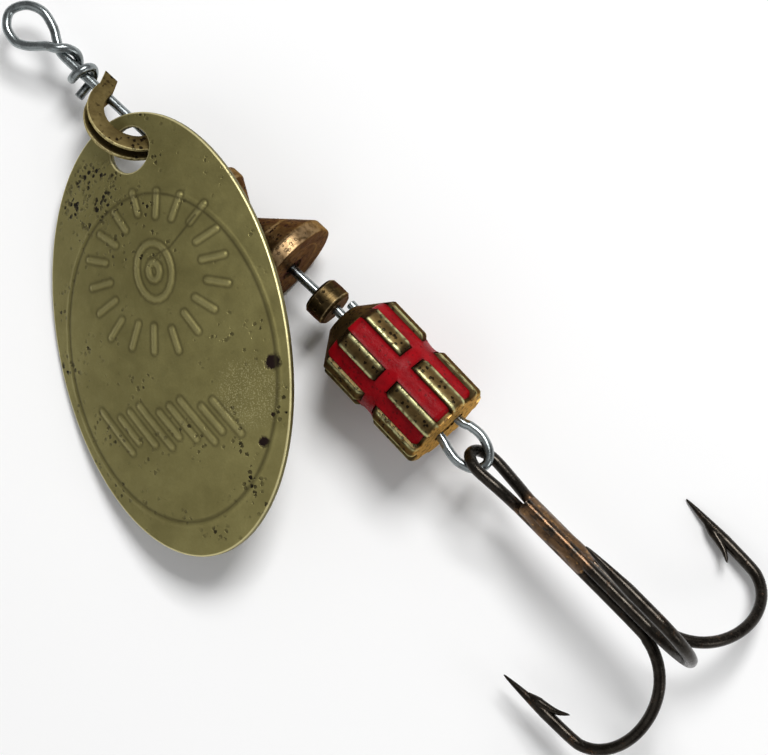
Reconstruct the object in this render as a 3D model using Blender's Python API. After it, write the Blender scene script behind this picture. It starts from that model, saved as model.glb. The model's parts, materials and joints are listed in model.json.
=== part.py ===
"""In-line spinner lure: a blade on a clevis turns about a wire shaft, ahead of a body and a treble hook.

Everything is laid out in the shaft's own frame: +X runs along the shaft from the line eye to
the hook, +Z is up, and the origin lies on the shaft's axis. The empty "lure" then sets that
frame down on the ground, tail end up by LIE_TILT, because a hook and the blade carry it.
"""

import math

import bmesh
import bpy
from mathutils import Matrix, Vector

MM = 0.001
CUTTER_EXCESS = 0.4 * MM

# How the whole lure lies: the shaft's tilt, and where its frame's origin is.
LIE_TILT = math.radians(2.47)
LURE_PLACE = (3.527 * MM, 5.819 * MM, 3.923 * MM)

# Wire
WIRE_RADIUS = 0.30 * MM
WIRE_SIDES = 10
WRAP_RADIUS = 0.66 * MM
LOOP_TIP = (8.11 * MM, -0.66 * MM, 0.0)

# Clevis: a half ring with two straight arms, folded to a channel
CLEVIS_X = -22.61 * MM
CLEVIS_RADIUS = 2.32 * MM
CLEVIS_ARM = 0.98 * MM
CLEVIS_SPLAY = 0.46 * MM
CLEVIS_BAND = 1.08 * MM
CLEVIS_WIDTH = 1.18 * MM
CLEVIS_SHEET = 0.24 * MM
CLEVIS_ROLL = math.radians(-38.0)
CLEVIS_HOLE = 0.38 * MM
CLEVIS_STEPS = 14

# Blade: a dished ellipse, with its hole near one end and a little to one side
BLADE_HALF_LENGTH = 13.8 * MM
BLADE_HALF_WIDTH = 8.32 * MM
BLADE_THICK = 0.42 * MM
BLADE_DISH = 1.1 * MM
BLADE_HOLE = 1.42 * MM
BLADE_HOLE_TO_CENTRE = 11.48 * MM
BLADE_HOLE_ASIDE = 0.30 * MM
BLADE_PLACE = (-20.86 * MM, -1.29 * MM, 0.56 * MM)
BLADE_TURN = (math.radians(23.5), math.radians(0.9), math.radians(-33.6))

# Hourglass collar, from its first face to its last
COLLAR_X = -16.0 * MM
COLLAR_LENGTH = 7.32 * MM
COLLAR_FACE = 1.8 * MM
COLLAR_SMALL_RIM = 2.10 * MM
COLLAR_SMALL_RIM_END = 1.06 * MM
COLLAR_WAIST = 0.72 * MM
COLLAR_WAIST_AT = 3.39 * MM
COLLAR_LARGE_RIM = 3.18 * MM
COLLAR_LARGE_RIM_START = 6.45 * MM
COLLAR_BORE = 0.40 * MM

# Spacer bead
BEAD_X = -6.45 * MM
BEAD_LENGTH = 1.48 * MM
BEAD_RADIUS = 1.26 * MM
BEAD_BORE = 0.38 * MM

# Body: its front face, its axis's turn in plan, and its ribs
BODY_PLACE = (-4.23 * MM, -0.116 * MM, 0.0)
BODY_TURN = math.radians(-3.49)
BODY_LENGTH = 9.15 * MM
BODY_RADIUS = 3.03 * MM
BODY_NOSE = 1.15 * MM
BODY_TAPER = 1.47 * MM
BODY_TAIL_CHAMFER = 0.38 * MM
GROOVE_FLOOR = 2.42 * MM
RING_START = 4.50 * MM
RING_END = 5.48 * MM
RIBS = 8
RIB_ANGLE = math.radians(21.0)
FIRST_RIB = math.radians(-75.0)
BORE_GAP = 0.08 * MM
CORE_RADIUS = 0.02 * MM  # the turned blank's own hole, which the bore then takes away

# Enamel in the grooves
ENAMEL_GAP = 0.03 * MM
ENAMEL_THICK = 0.30 * MM
ENAMEL_START = 1.12 * MM
ENAMEL_FULL = 1.40 * MM
ENAMEL_END = BODY_LENGTH - 0.45 * MM
ENAMEL_EDGE = 0.06 * MM

# Treble hook: its wire, and the axis it hangs on at rest
HOOK_PLACE = (LOOP_TIP[0], -0.68 * MM, 0.0)
HOOK_TILT = math.radians(4.0)
HOOK_HEADING = math.radians(-2.1)
HOOK_WIRE = 0.375 * MM
HOOK_SIDES = 8
SHANK_OFFSET = 0.455 * MM
HOOK_ROLLS = {"single": math.radians(-4.9), "left": math.radians(113.3), "right": math.radians(-126.7)}
EYE_START = -1.14 * MM
EYE_END = 2.75 * MM
EYE_HALF_WIDTH = 1.02 * MM
EYE_ROLL = math.radians(-55.0)
SINGLE_START = 3.57 * MM
BEND_START = 12.7 * MM
BEND_DEPTH = 17.37 * MM
BEND_RADIUS = 5.05 * MM
SPEAR_START = 14.7 * MM
SPEAR_RADIUS = 8.60 * MM
POINT_DEPTH = 9.14 * MM
POINT_RADIUS = 8.85 * MM
POINT_TIP = 0.05 * MM
OUT_STEPS = 6
BACK_STEPS = 5
HOOK_STEP = 0.75 * MM
TAPER_LENGTH = 3.2 * MM
BRAZE_START = 3.75 * MM
BRAZE_END = 8.45 * MM
BRAZE_RADIUS = 0.95 * MM
BRAZE_GAP = 0.035 * MM


def clear_scene():
    for obj in list(bpy.data.objects):
        bpy.data.objects.remove(obj)


def metal(name, colour, roughness, metallic=1.0):
    material = bpy.data.materials.new(name)
    material.use_nodes = True
    shader = material.node_tree.nodes["Principled BSDF"]
    shader.inputs["Base Color"].default_value = (*colour, 1.0)
    shader.inputs["Roughness"].default_value = roughness
    shader.inputs["Metallic"].default_value = metallic
    return material


def add_piece(name, mesh, material, parent, place=(0, 0, 0), turn=(0, 0, 0)):
    piece = bpy.data.objects.new(name, mesh)
    bpy.context.scene.collection.objects.link(piece)
    piece.parent = parent
    piece.location = place
    piece.rotation_euler = turn
    mesh.materials.append(material)
    mesh.shade_smooth()
    mesh.set_sharp_from_angle(angle=math.radians(35))
    return piece


def add_cutter(name, mesh, parent, place=(0, 0, 0), turn=(0, 0, 0)):
    cutter = bpy.data.objects.new(name, mesh)
    bpy.context.scene.collection.objects.link(cutter)
    cutter.parent = parent
    cutter.location = place
    cutter.rotation_euler = turn
    cutter.hide_render = True
    cutter.display_type = "WIRE"
    return cutter


def cut(piece, cutter):
    modifier = piece.modifiers.new(cutter.name, "BOOLEAN")
    modifier.operation = "DIFFERENCE"
    modifier.object = cutter


def finish_mesh(name, bm):
    bmesh.ops.recalc_face_normals(bm, faces=bm.faces)
    mesh = bpy.data.meshes.new(name)
    bm.to_mesh(mesh)
    bm.free()
    return mesh


def smooth_path(points, step):
    """A Catmull-Rom curve through the points, sampled about every step."""
    knots = [Vector(point) for point in points]
    knots = [2 * knots[0] - knots[1], *knots, 2 * knots[-1] - knots[-2]]
    path = []
    for a, b, c, d in zip(knots, knots[1:], knots[2:], knots[3:]):
        pieces = max(1, round((c - b).length / step))
        for i in range(pieces):
            t = i / pieces
            curve = 2 * b + (c - a) * t + (2 * a - 5 * b + 4 * c - d) * t**2
            path.append(0.5 * (curve + (3 * b - a - 3 * c + d) * t**3))
    return path + [knots[-2]]


def tube(name, path, radii, sides):
    """A round bar along the path, with a radius at each point and flat ends."""
    bm = bmesh.new()
    last = len(path) - 1
    tangents = [(path[min(i + 1, last)] - path[max(i - 1, 0)]).normalized() for i in range(last + 1)]
    across = tangents[0].orthogonal().normalized()
    rings = []
    for i, (point, radius) in enumerate(zip(path, radii)):
        if i:
            across = tangents[i - 1].rotation_difference(tangents[i]) @ across
        across = (across - across.dot(tangents[i]) * tangents[i]).normalized()
        up = tangents[i].cross(across)
        ring = []
        for k in range(sides):
            angle = 2 * math.pi * k / sides
            ring.append(bm.verts.new(point + radius * (math.cos(angle) * across + math.sin(angle) * up)))
        rings.append(ring)
    for ring, following in zip(rings, rings[1:]):
        for k in range(sides):
            n = (k + 1) % sides
            bm.faces.new((ring[k], ring[n], following[n], following[k]))
    bm.faces.new(rings[0])
    bm.faces.new(rings[-1])
    return finish_mesh(name, bm)


def turned(name, profile, sides=40):
    """A ring turned about X from a closed outline of (x, radius) points."""
    bm = bmesh.new()
    rings = []
    for k in range(sides):
        angle = 2 * math.pi * k / sides
        rings.append([bm.verts.new((x, r * math.sin(angle), r * math.cos(angle))) for x, r in profile])
    for ring, following in zip(rings, rings[1:] + rings[:1]):
        for i in range(len(profile)):
            n = (i + 1) % len(profile)
            bm.faces.new((ring[i], ring[n], following[n], following[i]))
    return finish_mesh(name, bm)


def rod(name, start, end, radius, sides=24):
    return tube(name, [Vector(start), Vector(end)], [radius, radius], sides)


def wire_path():
    """From the wrap's cut end, round the shaft, the eye, the shaft, the hook loop and back into the body."""
    turns = ((540, -26.28), (450, -26.56), (360, -26.80), (270, -27.06), (180, -27.43), (90, -28.05))
    turns += ((0, -29.0),)
    points = [(-26.15 * MM, -1.25 * MM, -0.58 * MM), (-26.2 * MM, -0.55 * MM, -0.64 * MM)]
    for (phase, x), (next_phase, next_x) in zip(turns, turns[1:]):
        for part in (0.0, 0.5):
            angle = math.radians(phase + part * (next_phase - phase))
            along = (x + part * (next_x - x)) * MM
            points.append((along, WRAP_RADIUS * math.sin(angle), WRAP_RADIUS * math.cos(angle)))
    points += [(-29.0 * MM, 0.0, WRAP_RADIUS)]
    eye = [(-29.6, -0.28, 0.48), (-30.2, -0.78, 0.25), (-30.85, -1.2, 0.08), (-31.5, -1.37, 0)]
    eye += [(-32.45, -1.08, 0), (-33.0, -0.22, 0), (-32.5, 0.74, 0), (-31.45, 1.15, 0)]
    eye += [(-30.3, 0.88, -0.08), (-29.55, 0.44, -0.12), (-29.0, 0.12, -0.06)]
    shaft = [(-28.4, 0, 0), (-26, 0, 0), (-16, 0, 0), (-6.5, 0, 0), (-4.2, -0.03, 0)]
    loop = [(0, -0.42, 0), (4.74, -1.26, 0), (5.8, -1.55, 0), (6.8, -1.68, 0), (7.75, -1.34, 0)]
    back = [(7.7, 0.02, 0), (6.8, 0.40, 0), (5.9, 0.38, 0), (4.74, 0.18, 0), (0, 0.52, 0), (-4.6, 0.85, 0)]
    points += [tuple(MM * c for c in point) for point in eye + shaft + loop]
    points += [LOOP_TIP] + [tuple(MM * c for c in point) for point in back]
    return smooth_path(points, 0.45 * MM)


def make_wire(lure):
    path = wire_path()
    mesh = tube("wire_shaft", path, [WIRE_RADIUS] * len(path), WIRE_SIDES)
    return add_piece("wire_shaft", mesh, metal("steel_wire", (0.52, 0.52, 0.53), 0.28), lure)


def make_clevis(lure, brass):
    half_width, half_band = CLEVIS_WIDTH / 2, CLEVIS_BAND / 2
    slot, floor = half_width - CLEVIS_SHEET, CLEVIS_SHEET - half_band
    section = [(-half_width, -half_band), (half_width, -half_band), (half_width, half_band)]
    section += [(slot, half_band), (slot, floor), (-slot, floor), (-slot, half_band)]
    section += [(-half_width, half_band)]
    bend = [math.pi * i / CLEVIS_STEPS for i in range(CLEVIS_STEPS + 1)]
    outwards = [Vector((-math.cos(angle), -math.sin(angle), 0)) for angle in bend]
    stations = [(CLEVIS_RADIUS * outward, outward) for outward in outwards]
    for at, side in ((0, -1), (len(bend) + 1, 1)):
        arm_end = Vector((side * (CLEVIS_RADIUS + CLEVIS_SPLAY), CLEVIS_ARM, 0))
        stations.insert(at, (arm_end, Vector((side, 0, 0))))
    bm = bmesh.new()
    rings = []
    for centre, outward in stations:
        rings.append([bm.verts.new(centre + o * outward + Vector((0, 0, w))) for w, o in section])
    for ring, following in zip(rings, rings[1:]):
        for i in range(len(section)):
            n = (i + 1) % len(section)
            bm.faces.new((ring[i], ring[n], following[n], following[i]))
    bm.faces.new(rings[0])
    bm.faces.new(rings[-1])
    mesh = finish_mesh("blade_clevis", bm)
    clevis = add_piece("blade_clevis", mesh, brass, lure, (CLEVIS_X, 0, 0), (CLEVIS_ROLL, 0, 0))
    reach = CLEVIS_RADIUS + CLEVIS_BAND
    hole = rod("clevis_hole", (-reach, 0, 0), (reach, 0, 0), CLEVIS_HOLE)
    cut(clevis, add_cutter("clevis_hole", hole, lure, (CLEVIS_X, 0, 0), (CLEVIS_ROLL, 0, 0)))
    return clevis


def make_blade(lure, brass):
    """Rings of points out from the ellipse's centre, on the top and the underside of the dish."""
    rings, sides = 5, 40
    bm = bmesh.new()
    faces = []
    for side in (1, -1):
        top = BLADE_DISH + side * BLADE_THICK / 2
        centre = bm.verts.new((BLADE_HOLE_TO_CENTRE, -BLADE_HOLE_ASIDE, top))
        grid = []
        for i in range(1, rings + 1):
            out = i / rings
            z = BLADE_DISH * (1 - out**2) + side * BLADE_THICK / 2
            ring = []
            for k in range(sides):
                angle = 2 * math.pi * k / sides
                x = BLADE_HOLE_TO_CENTRE + out * BLADE_HALF_LENGTH * math.cos(angle)
                y = out * BLADE_HALF_WIDTH * math.sin(angle) - BLADE_HOLE_ASIDE
                ring.append(bm.verts.new((x, y, z)))
            grid.append(ring)
        for k in range(sides):
            n = (k + 1) % sides
            bm.faces.new((centre, grid[0][k], grid[0][n]))
            for ring, following in zip(grid, grid[1:]):
                bm.faces.new((ring[k], following[k], following[n], ring[n]))
        faces.append(grid[-1])
    top, under = faces
    for k in range(sides):
        n = (k + 1) % sides
        bm.faces.new((top[k], under[k], under[n], top[n]))
    mesh = finish_mesh("spinner_blade", bm)
    blade = add_piece("spinner_blade", mesh, brass, lure, BLADE_PLACE, BLADE_TURN)
    hole = rod("blade_hole", (0, 0, -3 * MM), (0, 0, 4 * MM), BLADE_HOLE, 28)
    cut(blade, add_cutter("blade_hole", hole, lure, BLADE_PLACE, BLADE_TURN))
    return blade


def make_collar(lure, brass):
    chamfer = COLLAR_SMALL_RIM - COLLAR_FACE
    profile = [(0, COLLAR_BORE), (0, COLLAR_FACE), (chamfer, COLLAR_SMALL_RIM)]
    profile += [(COLLAR_SMALL_RIM_END, COLLAR_SMALL_RIM), (COLLAR_WAIST_AT, COLLAR_WAIST)]
    profile += [(COLLAR_LARGE_RIM_START, COLLAR_LARGE_RIM), (COLLAR_LENGTH, COLLAR_LARGE_RIM)]
    profile += [(COLLAR_LENGTH, COLLAR_BORE)]
    mesh = turned("hourglass_collar", profile)
    return add_piece("hourglass_collar", mesh, brass, lure, (COLLAR_X, 0, 0))


def make_bead(lure, brass):
    edge = 0.15 * MM
    profile = [(0, BEAD_BORE), (0, BEAD_RADIUS - edge), (edge, BEAD_RADIUS)]
    profile += [(BEAD_LENGTH - edge, BEAD_RADIUS), (BEAD_LENGTH, BEAD_RADIUS - edge)]
    profile += [(BEAD_LENGTH, BEAD_BORE)]
    return add_piece("spacer_bead", turned("spacer_bead", profile, 28), brass, lure, (BEAD_X, 0, 0))


def groove_cells(name, stations, inset):
    """The grooves' space as one solid: a ring between the ribs' ends, with a bar in every groove beside it.

    Each station is (x, inner radius, outer radius), and the ring fills the middle pair. The inset is
    how far the solid keeps from the ribs' sides.
    """
    pitch, gap = 2 * math.pi / RIBS, inset / GROOVE_FLOOR
    angles, is_groove = [], []
    for rib in range(RIBS):
        centre = FIRST_RIB + rib * pitch
        edge = RIB_ANGLE / 2 + gap
        angles += [centre - edge, centre, centre + edge, centre + pitch / 2]
        is_groove += [False, False, True, True]
    ring_at = len(stations) // 2 - 1
    bm = bmesh.new()
    corners = {}

    def corner(i, j, side):
        j %= len(angles)
        if (i, j, side) not in corners:
            x, radius = stations[i][0], stations[i][1 + side]
            y, z = -radius * math.sin(angles[j]), radius * math.cos(angles[j])
            corners[i, j, side] = bm.verts.new((x, y, z))
        return corners[i, j, side]

    def filled(i, j):
        return 0 <= i < len(stations) - 1 and (i == ring_at or is_groove[j % len(angles)])

    for i in range(len(stations) - 1):
        for j in range(len(angles)):
            if not filled(i, j):
                continue
            for side in (0, 1):
                bm.faces.new([corner(*at, side) for at in ((i, j), (i + 1, j), (i + 1, j + 1), (i, j + 1))])
            walls = [((i - 1, j), (i, j), (i, j + 1)), ((i + 1, j), (i + 1, j), (i + 1, j + 1))]
            walls += [((i, j - 1), (i, j), (i + 1, j)), ((i, j + 1), (i, j + 1), (i + 1, j + 1))]
            for neighbour, a, b in walls:
                if not filled(*neighbour):
                    bm.faces.new((corner(*a, 0), corner(*b, 0), corner(*b, 1), corner(*a, 1)))
    return finish_mesh(name, bm)


def bore_mesh():
    """The slot that both legs of the wire pass through, wider at the tail. It is in the shaft's frame."""
    bm = bmesh.new()
    radius = WIRE_RADIUS + BORE_GAP
    for x, low, high in ((-5.2 * MM, -0.03 * MM, 0.90 * MM), (5.4 * MM, -1.40 * MM, 0.24 * MM)):
        for side, y in ((-1, low), (1, high)):
            for k in range(7):
                angle = math.pi * k / 6
                bm.verts.new((x, y + side * radius * math.sin(angle), radius * math.cos(angle)))
    bmesh.ops.convex_hull(bm, input=bm.verts)
    return finish_mesh("body_bore", bm)


def make_body(lure, brass):
    profile = [(0, CORE_RADIUS), (0, BODY_NOSE), (BODY_TAPER, BODY_RADIUS)]
    profile += [(BODY_LENGTH - BODY_TAIL_CHAMFER, BODY_RADIUS)]
    profile += [(BODY_LENGTH, BODY_RADIUS - BODY_TAIL_CHAMFER)]
    profile += [(BODY_LENGTH, CORE_RADIUS)]
    turn = (0, 0, BODY_TURN)
    body = add_piece("ribbed_body", turned("ribbed_body", profile, 48), brass, lure, BODY_PLACE, turn)
    over, beyond = BODY_RADIUS + CUTTER_EXCESS, BODY_LENGTH + CUTTER_EXCESS
    edges = (-CUTTER_EXCESS, RING_START, RING_END, beyond)
    grooves = groove_cells("body_grooves", [(x, GROOVE_FLOOR, over) for x in edges], 0)
    cut(body, add_cutter("body_grooves", grooves, lure, BODY_PLACE, turn))
    cut(body, add_cutter("body_bore", bore_mesh(), lure))
    return body


def make_enamel(lure):
    inner = GROOVE_FLOOR + ENAMEL_GAP
    outer, edge = inner + ENAMEL_THICK, inner + ENAMEL_EDGE
    stations = [(ENAMEL_START, inner, edge), (ENAMEL_FULL, inner, outer)]
    stations += [(RING_START + ENAMEL_GAP, inner, outer), (RING_END - ENAMEL_GAP, inner, outer)]
    stations += [(ENAMEL_END - ENAMEL_THICK, inner, outer), (ENAMEL_END, inner, edge)]
    mesh = groove_cells("red_enamel", stations, ENAMEL_GAP)
    red = metal("red_enamel", (0.42, 0.01, 0.03), 0.2, 0.0)
    return add_piece("red_enamel", mesh, red, lure, BODY_PLACE, (0, 0, BODY_TURN))


def hook_path(roll):
    """One hook from its shank to its point, in the treble's frame: X along the shank, Z up at roll 0."""
    shank = (EYE_END + 0.5 * MM, EYE_END + 1.5 * MM, BEND_START)
    points = [(along, SHANK_OFFSET) for along in shank]
    out, back = BEND_RADIUS - SHANK_OFFSET, SPEAR_RADIUS - BEND_RADIUS
    for i in range(1, OUT_STEPS + 1):
        angle = math.pi / 2 * i / OUT_STEPS
        along = BEND_START + (BEND_DEPTH - BEND_START) * math.sin(angle)
        points.append((along, SHANK_OFFSET + out * (1 - math.cos(angle))))
    for i in range(1, BACK_STEPS + 1):
        angle = math.pi / 2 * i / BACK_STEPS
        along = SPEAR_START + (BEND_DEPTH - SPEAR_START) * math.cos(angle)
        points.append((along, BEND_RADIUS + back * math.sin(angle)))
    points += [(POINT_DEPTH + TAPER_LENGTH, SPEAR_RADIUS + 0.1 * MM), (POINT_DEPTH, POINT_RADIUS)]
    return [Vector((s, -r * math.sin(roll), r * math.cos(roll))) for s, r in points]


def tapered(path):
    """Radii that keep the wire's own as far as the last TAPER_LENGTH, then run down to the point."""
    radii = []
    for point in path:
        left = (point - path[-1]).length / TAPER_LENGTH
        radii.append(HOOK_WIRE if left >= 1 else POINT_TIP + (HOOK_WIRE - POINT_TIP) * left**0.7)
    return radii


def make_treble(lure):
    bronze = metal("hook_bronze", (0.16, 0.13, 0.10), 0.35)
    place, turn = HOOK_PLACE, (0, -HOOK_TILT, HOOK_HEADING)
    right, left = hook_path(HOOK_ROLLS["right"]), hook_path(HOOK_ROLLS["left"])
    side = Vector((0, math.cos(EYE_ROLL), math.sin(EYE_ROLL)))
    eye = [(EYE_END - 0.9 * MM, 0.82), (EYE_START + 1.1 * MM, 1.0), (EYE_START + 0.25 * MM, 0.62)]
    eye = [Vector((s, 0, 0)) + EYE_HALF_WIDTH * w * side for s, w in eye]
    other_side = [Vector((point.x, -point.y, -point.z)) for point in reversed(eye)]
    middle = eye + [Vector((EYE_START, 0, 0))] + other_side
    path = smooth_path(right[::-1] + middle + left, HOOK_STEP)
    half = len(path) // 2
    radii = tapered(path[:half][::-1])[::-1] + tapered(path[half:])
    double = tube("treble_double_hook", path, radii, HOOK_SIDES)
    add_piece("treble_double_hook", double, bronze, lure, place, turn)
    single = hook_path(HOOK_ROLLS["single"])
    single[0].x = SINGLE_START
    path = smooth_path(single, HOOK_STEP)
    single = tube("treble_single_hook", path, tapered(path), HOOK_SIDES)
    add_piece("treble_single_hook", single, bronze, lure, place, turn)
    make_braze(lure, place, turn)


def make_braze(lure, place, turn):
    """A sleeve of filler over the three shanks, with a way through for each."""
    length, edge = BRAZE_END - BRAZE_START, 0.12 * MM
    hollow = SHANK_OFFSET / 2
    profile = [(0, hollow), (0, BRAZE_RADIUS - edge), (edge, BRAZE_RADIUS), (length - edge, BRAZE_RADIUS)]
    profile += [(length, BRAZE_RADIUS - edge), (length, hollow)]
    brass = metal("braze", (0.45, 0.24, 0.12), 0.35)
    mesh = turned("treble_braze", profile, 24)
    mesh.transform(Matrix.Translation((BRAZE_START, 0, 0)))
    braze = add_piece("treble_braze", mesh, brass, lure, place, turn)
    for name, roll in HOOK_ROLLS.items():
        y, z = -SHANK_OFFSET * math.sin(roll), SHANK_OFFSET * math.cos(roll)
        ends = (BRAZE_START - 1 * MM, y, z), (BRAZE_END + 1 * MM, y, z)
        shank = rod("shank_" + name, *ends, HOOK_WIRE + BRAZE_GAP)
        cut(braze, add_cutter("shank_" + name, shank, lure, place, turn))
    return braze


def main():
    clear_scene()
    lure = bpy.data.objects.new("lure", None)
    bpy.context.scene.collection.objects.link(lure)
    lure.location = LURE_PLACE
    lure.rotation_euler = (0, -LIE_TILT, 0)
    blade_brass = metal("blade_brass", (0.16, 0.15, 0.06), 0.38)
    turned_brass = metal("turned_brass", (0.20, 0.13, 0.07), 0.38)
    make_wire(lure)
    make_clevis(lure, blade_brass)
    make_blade(lure, blade_brass)
    make_collar(lure, turned_brass)
    make_bead(lure, turned_brass)
    make_body(lure, turned_brass)
    make_enamel(lure)
    make_treble(lure)


main()
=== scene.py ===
"""Looks of the in-line spinner lure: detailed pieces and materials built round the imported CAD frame.

Sizes are in millimetres. They follow the CAD's, apart from small changes that the detailed
surfaces need. Each piece is built in its own frame, and the shaft's frame (X along the wire from
the line eye to the hook, origin on its axis) is taken from the record's joints.
"""

import json
import math

import bpy
import numpy as np
from mathutils import Euler, Matrix, Vector


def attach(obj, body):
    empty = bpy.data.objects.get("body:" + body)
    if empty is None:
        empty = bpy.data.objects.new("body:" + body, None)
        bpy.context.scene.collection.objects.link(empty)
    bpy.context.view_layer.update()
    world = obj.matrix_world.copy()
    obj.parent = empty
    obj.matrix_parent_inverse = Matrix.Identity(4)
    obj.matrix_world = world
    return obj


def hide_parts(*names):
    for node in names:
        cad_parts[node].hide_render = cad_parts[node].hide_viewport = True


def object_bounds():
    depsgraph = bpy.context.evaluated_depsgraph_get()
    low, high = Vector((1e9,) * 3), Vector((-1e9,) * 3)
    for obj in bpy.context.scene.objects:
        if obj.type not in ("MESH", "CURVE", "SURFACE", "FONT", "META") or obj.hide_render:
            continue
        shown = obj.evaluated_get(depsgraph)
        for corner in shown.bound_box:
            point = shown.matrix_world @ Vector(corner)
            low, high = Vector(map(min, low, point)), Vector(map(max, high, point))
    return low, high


MM = 0.001
OWN_PLACE = "own_place"

# Wire
WIRE_RADIUS = 0.30
WIRE_TRIM = 0.002
WRAP_RADIUS = 0.66
LOOP_TIP = (8.11, -0.66, 0.0)

# Clevis: a channel bent to a half ring with two straight arms
CLEVIS_X = -22.61
CLEVIS_RADIUS = 2.32
CLEVIS_ARM = 0.98
CLEVIS_SPLAY = 0.46
CLEVIS_BAND = 1.06
CLEVIS_WIDTH = 1.16
CLEVIS_SHEET = 0.24
CLEVIS_ROUND = 0.06
CLEVIS_ROLL = -38.0
CLEVIS_HOLE = 0.38

# Blade: a dished ellipse, its border ridge and its stamped motif, measured from the hole's centre
BLADE_HALF_LENGTH = 13.8
BLADE_HALF_WIDTH = 8.29
BLADE_CENTRE_ASIDE = -0.30
BLADE_THICK = 0.42
BLADE_DISH = 1.1
BLADE_HOLE = 1.42
BLADE_HOLE_TO_CENTRE = 11.48
BLADE_EDGE_ROUND = 0.12
BLADE_PLACE = (-20.86, -1.29, 0.56)
BLADE_TURN = (23.5, 0.9, -33.6)
RIDGE_CENTRE = 13.0
RIDGE_HALF_LENGTH = 10.3
RIDGE_HALF_WIDTH = 7.50
RIDGE_WIDTH = 0.10
RIDGE_HEIGHT = 0.025
RAYS_CENTRE = (7.8, 0.3)
REEDS_CENTRE = (17.0, -1.1)
STROKE_WIDTH = 0.12
STROKE_HEIGHT = 0.06
CRACK = ((5.3, 3.8), (6.7, 1.7), (7.0, 0.0))
CRACK_WIDTH = 0.07
BLADE_BLOTS = (((15.2, 6.6, 0.46), 0.50), ((19.6, 4.8, 0.51), 0.33), ((18.2, 5.8, 0.47), 0.14))

# Collar and bead, turned
COLLAR_X = -16.0
COLLAR_LENGTH = 7.32
COLLAR_BORE = 0.40
COLLAR_SMALL_RIM = 2.10
COLLAR_WAIST = 0.76
COLLAR_LARGE_RIM = 3.18
COLLAR_RECESS = 0.12
BEAD_X = -6.45
BEAD_LENGTH = 1.48
BEAD_RADIUS = 1.26
BEAD_BORE = 0.38
BEAD_EDGE = 0.17

# Body: ribs and a middle ring, with red enamel between them
BODY_PLACE = (-4.23, -0.116, 0.0)
BODY_TURN = -3.49
BODY_LENGTH = 9.15
BODY_RADIUS = 3.03
BODY_NOSE = 1.15
BODY_TAPER = 1.47
BODY_TAIL_CHAMFER = 0.38
GROOVE_FLOOR = 2.42
RING_START = 4.50
RING_END = 5.48
RIBS = 8
RIB_ANGLE = math.radians(21.0)
FIRST_RIB = math.radians(-75.0)
RIB_ROUND = 0.16
BORE_GAP = 0.08
ENAMEL_GAP = 0.02
ENAMEL_FILM = 0.05
ENAMEL_LEVEL = 2.70
ENAMEL_START = 1.06
ENAMEL_END = 8.86

# Treble hook
HOOK_TURN = (0.0, -4.0, -2.1)
HOOK_WIRE = 0.365
SHANK_OFFSET = 0.455
HOOK_ROLLS = {
    "single": math.radians(-4.9),
    "left": math.radians(113.3),
    "right": math.radians(-126.7),
}
EYE_START = -1.14
EYE_END = 2.75
EYE_HALF_WIDTH = 1.02
EYE_ROLL = math.radians(-55.0)
SINGLE_START = 3.57
BEND_START = 12.7
BEND_DEPTH = 17.355
BEND_RADIUS = 5.05
SPEAR_START = 14.7
SPEAR_RADIUS = 8.585
POINT_DEPTH = 9.14
POINT_RADIUS = 8.85
POINT_TIP = 0.035
TAPER_LENGTH = 3.4
BRAZE_START = 3.35
BRAZE_END = 8.75
BRAZE_VALLEY = 0.70

# Floor
FLOOR_GAP = 0.02
FLOOR_HALF = 3000.0

# Colours that the brass materials share
PIT_BLACK = (0.014, 0.009, 0.005)
# Dirt with painted shade, laid on where the grime mask says
DIRT_AND_SHADE_BROWN = (0.020, 0.013, 0.007)
GILT = (0.70, 0.42, 0.13)
GILT_PIT = (0.10, 0.05, 0.02)
EDGE_TINT = (0.50, 0.36, 0.22, 1.0)

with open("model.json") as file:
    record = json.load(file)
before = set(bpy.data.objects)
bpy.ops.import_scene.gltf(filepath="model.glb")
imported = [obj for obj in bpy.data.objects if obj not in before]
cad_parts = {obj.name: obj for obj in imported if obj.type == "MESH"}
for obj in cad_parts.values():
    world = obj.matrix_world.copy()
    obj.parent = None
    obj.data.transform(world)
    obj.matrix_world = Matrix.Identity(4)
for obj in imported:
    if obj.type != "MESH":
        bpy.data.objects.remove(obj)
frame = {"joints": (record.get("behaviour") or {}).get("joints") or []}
cad_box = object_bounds()
joints = {joint["name"]: joint for joint in frame["joints"]}


def shaft_frame():
    """The shaft's frame, from the axis and the pivot of the joint that the clevis turns on."""
    axis = Vector(joints["clevis_spin"]["axis"])
    origin = Vector(joints["clevis_spin"]["pos_m"]) - axis * CLEVIS_X * MM
    return Matrix.Translation(origin) @ Matrix.Rotation(-math.atan2(axis.z, axis.x), 4, "Y")


SHAFT = shaft_frame()


def placed(place=(0, 0, 0), turn=(0, 0, 0)):
    """A frame at a place in millimetres and a turn in degrees, in the shaft's frame."""
    turned = Euler([math.radians(angle) for angle in turn]).to_matrix().to_4x4()
    return SHAFT @ Matrix.Translation(Vector(place) * MM) @ turned


TREBLE = placed(SHAFT.inverted() @ Vector(joints["treble_swing"]["pos_m"]) / MM, HOOK_TURN)


# ---------------------------------------------------------------- meshes


def new_object(name, data):
    made = bpy.data.objects.new(name, data)
    bpy.context.scene.collection.objects.link(made)
    return made


def mesh_of(name, points, faces):
    """A mesh from points in millimetres."""
    mesh = bpy.data.meshes.new(name)
    mesh.from_pydata((np.asarray(points, float) * MM).tolist(), [], faces)
    return mesh


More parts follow.
